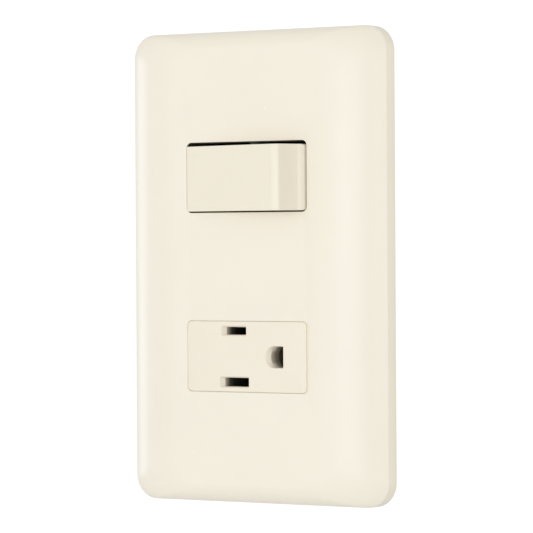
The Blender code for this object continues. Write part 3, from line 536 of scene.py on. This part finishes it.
def rocker_cap():
    """Rocker, hollow behind: face with rounded edges, sides, and ends on an arc about the pivot."""
    pivot = Vector((0.0, -PIVOT_DEPTH, ROCKER_MIDDLE_Z))
    profile = rocker_profile()
    (left, _), (face_end, _) = profile[:2]
    right = profile[-1][0]
    face = [left + (face_end - left) * step / FACE_STEPS for step in range(FACE_STEPS)]
    stations = [(x, height_at(profile, x)) for x in face] + profile[1:]
    shape = bmesh.new()

    def ring(inset, left_x, right_x, height_of):
        upper, lower = (rocker_stations(stations, left_x + inset, right_x - inset, inset, corners)
                        for corners in (UPPER_CORNERS, LOWER_CORNERS))
        points = [pivot + Vector((x, -height_of(x), z)) for x, z in upper]
        points += [pivot + Vector((x, -height_of(x), -z)) for x, z in reversed(lower)]
        return add_loop(shape, points)

    def roof_height(x):
        return height_at(profile, x + ROCKER_WALL) - ROCKER_WALL

    loops = []
    for step in range(LIP_STEPS + 1):
        angle = math.pi / 2 * step / LIP_STEPS
        inset = ROCKER_EDGE * (1 - math.sin(angle))
        sink = ROCKER_EDGE * (1 - math.cos(angle))
        loops.append(ring(inset, left, right, lambda x, s=sink: height_at(profile, x) - s))
    top_left, top_right = ROCKER_FLUSH - ROCKER_EDGE, ROCKER_NOSE_END - ROCKER_EDGE
    for step in range(1, SIDE_STEPS + 1):
        t = step / SIDE_STEPS

        def side_height(x, t=t):
            return (height_at(profile, x) - ROCKER_EDGE) * (1 - t) - ROCKER_SKIRT * t
        left_height = top_left * (1 - t) - ROCKER_SKIRT * t
        right_height = top_right * (1 - t) - ROCKER_SKIRT * t
        left_x = -min(ROCKER_END_X, end_width(ROCKER_END_R, left_height))
        right_x = end_width(NOSE_END_R, right_height)
        loops.append(ring(0.0, left_x, right_x, side_height))
    loops.append(ring(ROCKER_WALL, left_x, right_x, lambda _: -ROCKER_SKIRT))
    loops.append(ring(ROCKER_WALL, left_x, ROCKER_NOSE_FOOT[0], roof_height))
    bridge_all(shape, loops)
    half = len(loops[0]) // 2
    for loop in (loops[0], loops[-1]):
        upper, lower = loop[:half], loop[half:][::-1]
        for i in range(half - 1):
            shape.faces.new((upper[i], upper[i + 1], lower[i + 1], lower[i]))
    return finish_mesh("rocker_cap", shape, [looks["rocker"]])


def rocker_turning(name, profile, rotation, look):
    """Round part of the rocker about the rotated Y axis through the pivot."""
    pivot = Matrix.Translation((0.0, -PIVOT_DEPTH, ROCKER_MIDDLE_Z))
    shape = bmesh.new()
    lathe(shape, profile, 0.0, 0.0)
    bmesh.ops.transform(shape, matrix=pivot @ rotation, verts=shape.verts)
    piece = finish_mesh(name, shape, [looks[look]])
    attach(piece, "rocker")


def switch_rocker():
    stand_for(rocker_cap(), "rocker", "ivory", "switch_rocker")
    boss = ((0.0, BOSS_TOP), (BOSS_R, BOSS_TOP), (BOSS_R, BOSS_END),
            (BORE_R, BOSS_END), (BORE_R, BORE_TOP), (0.0, BORE_TOP))
    lean = Matrix.Rotation(math.radians(PLUNGER_LEAN), 4, "Z")
    rocker_turning("rocker_boss", boss, lean, "rocker")
    trunnion = ((0.0, TRUNNION_START), (TRUNNION_R, TRUNNION_START),
                (TRUNNION_R, TRUNNION_END - TRUNNION_EDGE),
                (TRUNNION_R - TRUNNION_EDGE, TRUNNION_END), (0.0, TRUNNION_END))
    # The hinge pins, moulded with the rocker, take the dark module plastic as painted shade in the gap round
    # the rocker
    for word, turn in (("upper", 90.0), ("lower", -90.0)):
        rotation = Matrix.Rotation(math.radians(turn), 4, "X")
        rocker_turning(f"rocker_trunnion_{word}", trunnion, rotation, "module")


# Receptacle face

FACE_FRONT = 9.2 * MM
FACE_SHOULDER = 6.9 * MM
FACE_BACK = 2.0 * MM
FACE_HALF = (19.6 * MM, 10.2 * MM)
FACE_CORNER = 0.3 * MM
SHOULDER_EDGE = 0.2 * MM
NECK_Z = -22.05 * MM
NECK_HALF = (17.56 * MM, 8.65 * MM)
NECK_SHIFT = -0.06 * MM
NECK_CORNER = 1.2 * MM
NECK_EDGE = 0.1 * MM
NECK_GROOVE = 0.35 * MM
LEDGE_HALF = (17.93 * MM, 8.76 * MM)
LEDGE_SHIFT = 0.25 * MM
SLOT_WALL = 4.6 * MM
BLADE_X = -3.57 * MM
BLADE_Z = 6.31 * MM
SLOT_CORNER = 0.15 * MM

# Blade slots as (side, left, right, half height)
BLADE_SLOTS = ((1, -6.56 * MM, -0.18 * MM, 0.97 * MM), (-1, -7.1 * MM, 0.57 * MM, 1.12 * MM))

# Chamfered mouth of each hole, as (depth, growth to the left, growth to the right, growth up and down)
LEAD_IN = ((0.0, 0.95 * MM, 0.1 * MM, 0.32 * MM), (0.35 * MM, 0.63 * MM, 0.0, 0.0),
           (1.05 * MM, 0.0, 0.0, 0.0))
POCKET_HALF = (5.3 * MM, 1.3 * MM)
POCKET_CORNER = 0.2 * MM
SLOT_CORNER_STEPS = 4
GROUND_X = 8.15 * MM
GROUND_R = 2.6 * MM
GROUND_FLAT = 2.56 * MM
GROUND_CORNER = 0.25 * MM
GROUND_POCKET = 0.85 * MM
FACE_SCREW_X = 17.75 * MM
FACE_SCREW_R = 1.2 * MM
FACE_SCREW_END = -3.4 * MM

# Clips that hold the face to the strap, as (name, reach, front, back, half height)
CLIPS = (("lug", 22.6 * MM, -3.0 * MM, -1.5 * MM, 4.0 * MM),
         ("hook", 21.0 * MM, 0.3 * MM, 1.5 * MM, 2.0 * MM))
CLIP_START = 19.0 * MM
CLIP_ROUND = 0.2 * MM


def ground_loop(grow, y, centre_z, cut_in=0.0):
    """D-shaped hole, set outwards by some distance, its round left side cut in by another."""
    radius = GROUND_R + grow
    flat = GROUND_FLAT + grow
    small = GROUND_CORNER
    points = []
    for step in range(25):
        angle = math.pi / 2 + math.pi * step / 24
        points.append((radius * math.cos(angle), radius * math.sin(angle)))
    for sz, start in ((-1, -math.pi / 2), (1, 0.0)):
        for step in range(6):
            angle = start + math.pi / 2 * step / 5
            points.append((flat - small + small * math.cos(angle),
                           sz * (radius - small) + small * math.sin(angle)))
    squeeze = 1 - cut_in / (radius + flat)
    return [Vector((GROUND_X + flat + (x - flat) * squeeze, y, centre_z + z)) for x, z in points]


def circle_loop(radius, y, centre_x, centre_z, steps=32):
    angles = [2 * math.pi * step / steps for step in range(steps)]
    return [Vector((centre_x + radius * math.cos(a), y, centre_z + radius * math.sin(a))) for a in angles]


def receptacle_face():
    """Flush face with its neck, polarised slots, D-shaped hole and the cells behind them, painted darker with
    depth as shade.
    """
    shape = bmesh.new()
    centre_z = -MODULE_Z
    front_holes, back_holes = [], []
    for side, left, right, half_z in BLADE_SLOTS:
        z = NECK_Z + side * BLADE_Z
        loops = []
        for depth, grow_left, grow_right, grow_z in LEAD_IN:
            low, high = left - grow_left, right + grow_right
            points = corner_loop((high - low) / 2, half_z + grow_z, SLOT_CORNER + grow_z,
                                 depth - FACE_FRONT, z, (low + high) / 2, SLOT_CORNER_STEPS)
            loops.append(add_loop(shape, points))
        bridge_all(shape, loops)
        wall = add_loop(shape, corner_loop((right - left) / 2, half_z, SLOT_CORNER, SLOT_WALL - FACE_FRONT,
                                           z, (left + right) / 2, SLOT_CORNER_STEPS))
        cell = [add_loop(shape, corner_loop(*POCKET_HALF, POCKET_CORNER, y, z, BLADE_X, SLOT_CORNER_STEPS))
                for y in (SLOT_WALL - FACE_FRONT, FACE_BACK)]
        bridge_all(shape, [loops[-1], wall] + cell, 1)
        front_holes.append(loops[0])
        back_holes.append(cell[-1])
        screw = [add_loop(shape, circle_loop(FACE_SCREW_R, y, side * FACE_SCREW_X, centre_z))
                 for y in (FACE_BACK, FACE_SCREW_END)]
        bridge_all(shape, screw)
        shape.faces.new(screw[-1])
        back_holes.append(screw[0])
    mouth = LEAD_IN[0][1]
    loops = [add_loop(shape, ground_loop(grow_right, depth - FACE_FRONT, NECK_Z, mouth - grow_left))
             for depth, grow_left, grow_right, _ in LEAD_IN]
    wall = add_loop(shape, ground_loop(0.0, SLOT_WALL - FACE_FRONT, NECK_Z, mouth))
    bridge_all(shape, loops)
    cell = [add_loop(shape, ground_loop(GROUND_POCKET, y, NECK_Z))
            for y in (SLOT_WALL - FACE_FRONT, FACE_BACK)]
    bridge_all(shape, [loops[-1], wall] + cell, 2)
    front_holes.append(loops[0])
    back_holes.append(cell[-1])

    outside = []
    for step in range(LIP_STEPS + 1):
        angle = math.pi / 2 * step / LIP_STEPS
        inset = NECK_EDGE * (1 - math.sin(angle))
        outside.append(corner_loop(NECK_HALF[0] - inset, NECK_HALF[1] - inset, NECK_CORNER - inset,
                                   NECK_EDGE * (1 - math.cos(angle)) - FACE_FRONT, NECK_Z, NECK_SHIFT))
    outside.append(corner_loop(*NECK_HALF, NECK_CORNER, NECK_GROOVE - FACE_FRONT, NECK_Z, NECK_SHIFT))
    for y in (NECK_GROOVE - FACE_FRONT, -FACE_SHOULDER):
        outside.append(corner_loop(*LEDGE_HALF, WINDOW_CORNER, y, NECK_Z, LEDGE_SHIFT))
    for inset, y in ((SHOULDER_EDGE, -FACE_SHOULDER), (0.0, SHOULDER_EDGE - FACE_SHOULDER), (0.0, FACE_BACK)):
        outside.append(corner_loop(FACE_HALF[0] - inset, FACE_HALF[1] - inset, FACE_CORNER, y, centre_z))
    outside = [add_loop(shape, points) for points in outside]
    bridge_all(shape, outside)
    fill_between(shape, [outside[0]] + front_holes)
    fill_between(shape, [outside[-1]] + back_holes)
    # The second and third materials paint shade that darkens down the slots and the D hole
    materials = [looks["receptacle"], looks["painted_slot_shade"], looks["painted_ground_shade"]]
    piece = finish_mesh("receptacle_face_shell", shape, materials)
    stand_for(piece, "frame", "ivory", "receptacle_face")


def receptacle_clips():
    """Lug and hook at each end of the receptacle, which hold it to the strap."""
    for word, side in (("left", -1), ("right", 1)):
        for part, reach, y_low, y_high, half_z in CLIPS:
            low_x, high_x = sorted((side * CLIP_START, side * reach))
            low, high = (low_x, y_low, -MODULE_Z - half_z), (high_x, y_high, -MODULE_Z + half_z)
            clip = rounded_box(f"receptacle_{part}_{word}", low, high, CLIP_ROUND, looks["receptacle"])
            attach(clip, "frame")


# Screws

LATHE_STEPS = 48
HEAD_THICK = {"box": 2.1 * MM, "switch": 1.9 * MM, "hot": 1.9 * MM, "neutral": 1.9 * MM,
              "ground": 1.9 * MM, "receptacle": 1.1 * MM}
HEAD_EDGE = 0.12 * MM
DOME_STEPS = 8
DOME_SHARE = 0.45
DOME_POWER = 0.75
NECK_LENGTH = 0.6 * MM
THREAD_START = 0.5 * MM
THREAD_HEIGHT = 0.12 * MM
THREAD_SHARP = 60.0
SLOT_DEPTH_SHARE = 0.5

# Driver slots, as half lengths along X and Z in head radii
SINGLE_SLOT = ((1.2, 0.14),)
CROSS_SLOT = ((0.62, 0.13), (0.13, 0.62))


def lathe(shape, profile, centre_x, centre_z):
    """Closed round form about Y from (radius, y) points whose two ends are on the axis."""
    loops = [add_loop(shape, circle_loop(radius, y, centre_x, centre_z, LATHE_STEPS))
             for radius, y in profile[1:-1]]
    bridge_all(shape, loops)
    for (_, y), loop in ((profile[0], loops[0]), (profile[-1], loops[-1])):
        tip = shape.verts.new((centre_x, y, centre_z))
        for a, b in zip(loop, loop[1:] + loop[:1]):
            shape.faces.new((a, b, tip))


def thread(shape, radius, pitch, start, end, centre_x, centre_z, steps=32):
    """Threaded shank whose crests run in a helix, fade out at both ends and taper at the tip."""
    depth = 0.45 * pitch
    count = round(abs(end - start) / (pitch / 6))
    loops = []
    for i in range(count + 1):
        y = start + (end - start) * i / count
        fade = min(1.0, 6.0 * i / count, 10.0 * (count - i) / count)
        tip = 1.0 - 0.45 * max(0.0, (i - count + 8) / 8)
        loop = []
        for step in range(steps):
            phase = (abs(y - start) / pitch - step / steps) % 1.0
            valley = depth * fade * abs(2 * phase - 1) ** 1.5
            r = (radius - valley) * tip
            angle = 2 * math.pi * step / steps
            loop.append(Vector((centre_x + r * math.cos(angle), y, centre_z + r * math.sin(angle))))
        loops.append(add_loop(shape, loop))
    bridge_all(shape, loops)
    shape.faces.new(loops[0])
    shape.faces.new(loops[-1])


def carved(piece, cutter):
    """The piece less the cutter, which is then removed."""
    step = piece.modifiers.new("carve", "BOOLEAN")
    step.operation = "DIFFERENCE"
    step.object = cutter
    step.solver = "EXACT"
    depsgraph = bpy.context.evaluated_depsgraph_get()
    mesh = bpy.data.meshes.new_from_object(piece.evaluated_get(depsgraph))
    piece.modifiers.clear()
    piece.data = mesh
    mesh.shade_smooth()
    mesh.set_sharp_from_angle(angle=math.radians(SHARP))
    bpy.data.objects.remove(cutter)
    return piece


def driver_slot(head_r, top, deep, centre, reach_x, reach_z, look):
    """Cutter for one slot across a screw's head; the reaches are shares of the head's radius."""
    shape = bmesh.new()
    ys = sorted((top, deep))
    half_x, half_z = head_r * reach_x, head_r * reach_z
    add_block(shape, (centre[0] - half_x, ys[0], centre[1] - half_z),
              (centre[0] + half_x, ys[1], centre[1] + half_z))
    return finish_mesh("cutter", shape, [look])


def screw(node, look, slot, shank_r, pitch, front_head, driver=SINGLE_SLOT):
    """Pan-head screw with a driver slot and a real thread, in the CAD screw's box."""
    low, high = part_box(node)
    centre = ((low.x + high.x) / 2, (low.z + high.z) / 2)
    head_r = (high.z - low.z) / 2
    top, end = (low.y, high.y) if front_head else (high.y, low.y)
    inward = 1 if front_head else -1
    thick = HEAD_THICK[node.split("_screw")[0]]
    dome = []
    for step in range(DOME_STEPS + 1):
        angle = math.pi / 2 * step / DOME_STEPS
        fall = DOME_SHARE * thick * (1 - math.cos(angle))
        dome.append((head_r * math.sin(angle) ** DOME_POWER, top + inward * fall))
    seat = top + inward * thick
    neck = seat + inward * NECK_LENGTH
    profile = dome + [(head_r, seat - inward * HEAD_EDGE), (head_r - HEAD_EDGE, seat), (shank_r, seat),
                      (shank_r, neck), (0.0, neck)]
    shape = bmesh.new()
    lathe(shape, profile, *centre)
    piece = finish_mesh(node + "_turned", shape, [looks[look]])
    for reach_x, reach_z in driver:
        cutter = driver_slot(head_r, top - inward * MM, top + inward * SLOT_DEPTH_SHARE * thick,
                             centre, reach_x, reach_z, looks[look])
        piece = carved(piece, cutter)
    stand_for(piece, "frame", slot, node)
    shape = bmesh.new()
    thread(shape, shank_r + THREAD_HEIGHT, pitch, seat + inward * THREAD_START, end, *centre)
    shank = finish_mesh(node + "_thread", shape, [looks[look]], THREAD_SHARP)
    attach(shank, "frame")


def screws():
    for word in ("upper", "lower"):
        screw("box_screw_" + word, "screw_steel", "zinc_steel", 1.48 * MM, 0.8 * MM, True)
    for node, look, slot in (("switch_screw_left", "brass", "brass"),
                             ("switch_screw_right", "brass", "brass"),
                             ("hot_screw", "brass", "brass"), ("neutral_screw", "silver", "silver"),
                             ("ground_screw", "green", "green_screw")):
        screw(node, look, slot, 1.48 * MM, 0.7 * MM, False)
    for word in ("left", "right"):
        screw("receptacle_screw_" + word, "screw_steel", "zinc_steel", 0.78 * MM, 0.5 * MM, False, CROSS_SLOT)


# CAD forms with eased edges

# Look, nodes and the width of their eased edges
EASED = (("module", ("switch_housing", "receptacle_base", "rocker_plunger"), 0.18 * MM),
         ("steel", ("mounting_strap", "switch_clamp_left", "switch_clamp_right", "hot_clamp", "neutral_clamp",
                    "ground_clamp"), 0.15 * MM),
         ("brass", ("contact_lever", "fixed_terminal", "common_terminal", "hot_contact", "neutral_contact",
                    "ground_contact"), 0.1 * MM),
         ("silver", ("moving_contact", "fixed_contact"), 0.08 * MM),
         ("fibre", ("screw_retainer_upper", "screw_retainer_lower"), 0.1 * MM))
FLAT_ANGLE = 0.6
MERGE_DISTANCE = 0.001 * MM


def eased(node, look, width):
    """The CAD node's own form with its sharp edges rounded over."""
    source = frame["nodes"][node]
    shape = bmesh.new()
    shape.from_mesh(source.data)
    bmesh.ops.remove_doubles(shape, verts=shape.verts, dist=MERGE_DISTANCE)
    flat = math.radians(FLAT_ANGLE)
    bmesh.ops.dissolve_limit(shape, angle_limit=flat, verts=shape.verts, edges=shape.edges)
    piece = finish_mesh(node + "_form", shape, [looks[look]])
    bevel = piece.modifiers.new("ease", "BEVEL")
    bevel.width = width
    bevel.segments = 2
    bevel.limit_method = "ANGLE"
    bevel.angle_limit = math.radians(SHARP)
    bevel.harden_normals = False
    bevel.use_clamp_overlap = True
    smooth = piece.modifiers.new("normals", "WEIGHTED_NORMAL")
    smooth.keep_sharp = True
    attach(piece, source["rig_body"])
    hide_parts(node)
    return piece


def eased_parts():
    for look, nodes, width in EASED:
        for node in nodes:
            eased(node, look, width)


def plunger_spring():
    """The CAD spring keeps its form and gets its steel."""
    materials = frame["nodes"]["plunger_spring"].data.materials
    materials.clear()
    materials.append(looks["screw_steel"])


# Stage

BACKDROP_STRENGTH = 1.05
DOME_STRENGTH = 0.74
DOME_COLOUR = (1.0, 1.0, 0.98, 1.0)
COOL = (0.88, 1.0, 1.24)
WHITE = (0.97, 1.0, 1.06)
WARM = (1.1, 1.0, 0.7)

# Softboxes, as name, azimuth and elevation in degrees, width and height in metres, radiance, colour
SOFTBOX_DISTANCE = 1.1
SOFTBOXES = (("wide_box", -8.0, 0.0, (1.3, 0.9), 0.61, WHITE),
             ("high_box", -8.0, 24.0, (0.9, 0.4), 0.22, WHITE),
             ("front_box", 2.0, 0.0, (0.56, 0.36), 1.22, COOL),
             ("left_box", -91.0, 0.0, (0.38, 0.4), 1.3, COOL),
             ("right_box", 44.0, 0.0, (0.5, 0.36), 1.27, WHITE),
             ("rim_box", 140.0, 0.0, (0.6, 0.9), 0.55, WARM))

# Camera about the plate's centre: degrees to the right, degrees up, roll in degrees, metres away
CAMERA_AZIMUTH = 33.855
CAMERA_RISE = 0.384
CAMERA_ROLL = 0.329
CAMERA_DISTANCE = 0.83064
CAMERA_AIM = (-0.09 * MM, -0.06 * MM, 0.03 * MM)
CAMERA_LENS = 226.57

FLOOR_SIZE = 1.6
FLOOR_Z = -0.3


def world_light():
    """White studio dome, a little dimmer for light than for the camera."""
    world = bpy.data.worlds.new("studio")
    world.use_nodes = True
    nodes, links = world.node_tree.nodes, world.node_tree.links
    backdrop = nodes["Background"]
    backdrop.inputs["Color"].default_value = (1.0, 1.0, 1.0, 1.0)
    backdrop.inputs["Strength"].default_value = BACKDROP_STRENGTH
    dome = nodes.new("ShaderNodeBackground")
    dome.inputs["Color"].default_value = DOME_COLOUR
    dome.inputs["Strength"].default_value = DOME_STRENGTH
    seen = nodes.new("ShaderNodeLightPath")
    mix = nodes.new("ShaderNodeMixShader")
    links.new(seen.outputs["Is Camera Ray"], mix.inputs["Fac"])
    links.new(dome.outputs["Background"], mix.inputs[1])
    links.new(backdrop.outputs["Background"], mix.inputs[2])
    links.new(mix.outputs["Shader"], nodes["World Output"].inputs["Surface"])
    bpy.context.scene.world = world


def direction(azimuth, elevation):
    """Unit vector away from the plate; azimuth is degrees to the right of straight ahead."""
    turn, rise = math.radians(azimuth), math.radians(elevation)
    return Vector((math.sin(turn) * math.cos(rise), -math.cos(turn) * math.cos(rise), math.sin(rise)))


def softbox(name, azimuth, elevation, size, radiance, colour):
    """Rectangular light that faces the plate."""
    light = bpy.data.lights.new(name, "AREA")
    light.shape = "RECTANGLE"
    light.size, light.size_y = size
    light.color = colour
    light.energy = radiance * size[0] * size[1] * math.pi
    lamp = bpy.data.objects.new(name, light)
    away = direction(azimuth, elevation)
    lamp.location = away * SOFTBOX_DISTANCE
    lamp.rotation_euler = away.to_track_quat("Z", "Y").to_euler()
    lamp.visible_camera = False
    bpy.context.scene.collection.objects.link(lamp)


def camera():
    data = bpy.data.cameras.new("camera")
    data.sensor_width = 36.0
    data.lens = CAMERA_LENS
    data.clip_start = 0.05
    made = bpy.data.objects.new("camera", data)
    back = direction(CAMERA_AZIMUTH, CAMERA_RISE)
    level = direction(CAMERA_AZIMUTH + 90.0, 0.0)
    roll = math.radians(CAMERA_ROLL)
    up = back.cross(level) * math.cos(roll) + level * math.sin(roll)
    turn = Matrix((up.cross(back), up, back)).transposed().to_4x4()
    made.matrix_world = Matrix.Translation(Vector(CAMERA_AIM) + back * CAMERA_DISTANCE) @ turn
    bpy.context.scene.collection.objects.link(made)
    bpy.context.scene.camera = made


def floor():
    shape = bmesh.new()
    place = Matrix.Translation((0.0, 0.0, FLOOR_Z))
    bmesh.ops.create_grid(shape, x_segments=8, y_segments=8, size=FLOOR_SIZE, matrix=place)
    shader = Shader("pale_floor", (0.86, 0.86, 0.85, 1.0), 0.8)
    shader.vary_colour(shader.noise(3.0), (0.85, 0.85, 0.84, 1.0), (0.87, 0.87, 0.86, 1.0))
    finish_mesh("floor", shape, [shader.material])


def stage():
    bpy.context.scene.view_settings.view_transform = "Standard"
    world_light()
    for box in SOFTBOXES:
        softbox(*box)
    camera()
    floor()


cover_plate()
snap_legs()
switch_rocker()
receptacle_face()
receptacle_clips()
screws()
eased_parts()
plunger_spring()
stage()
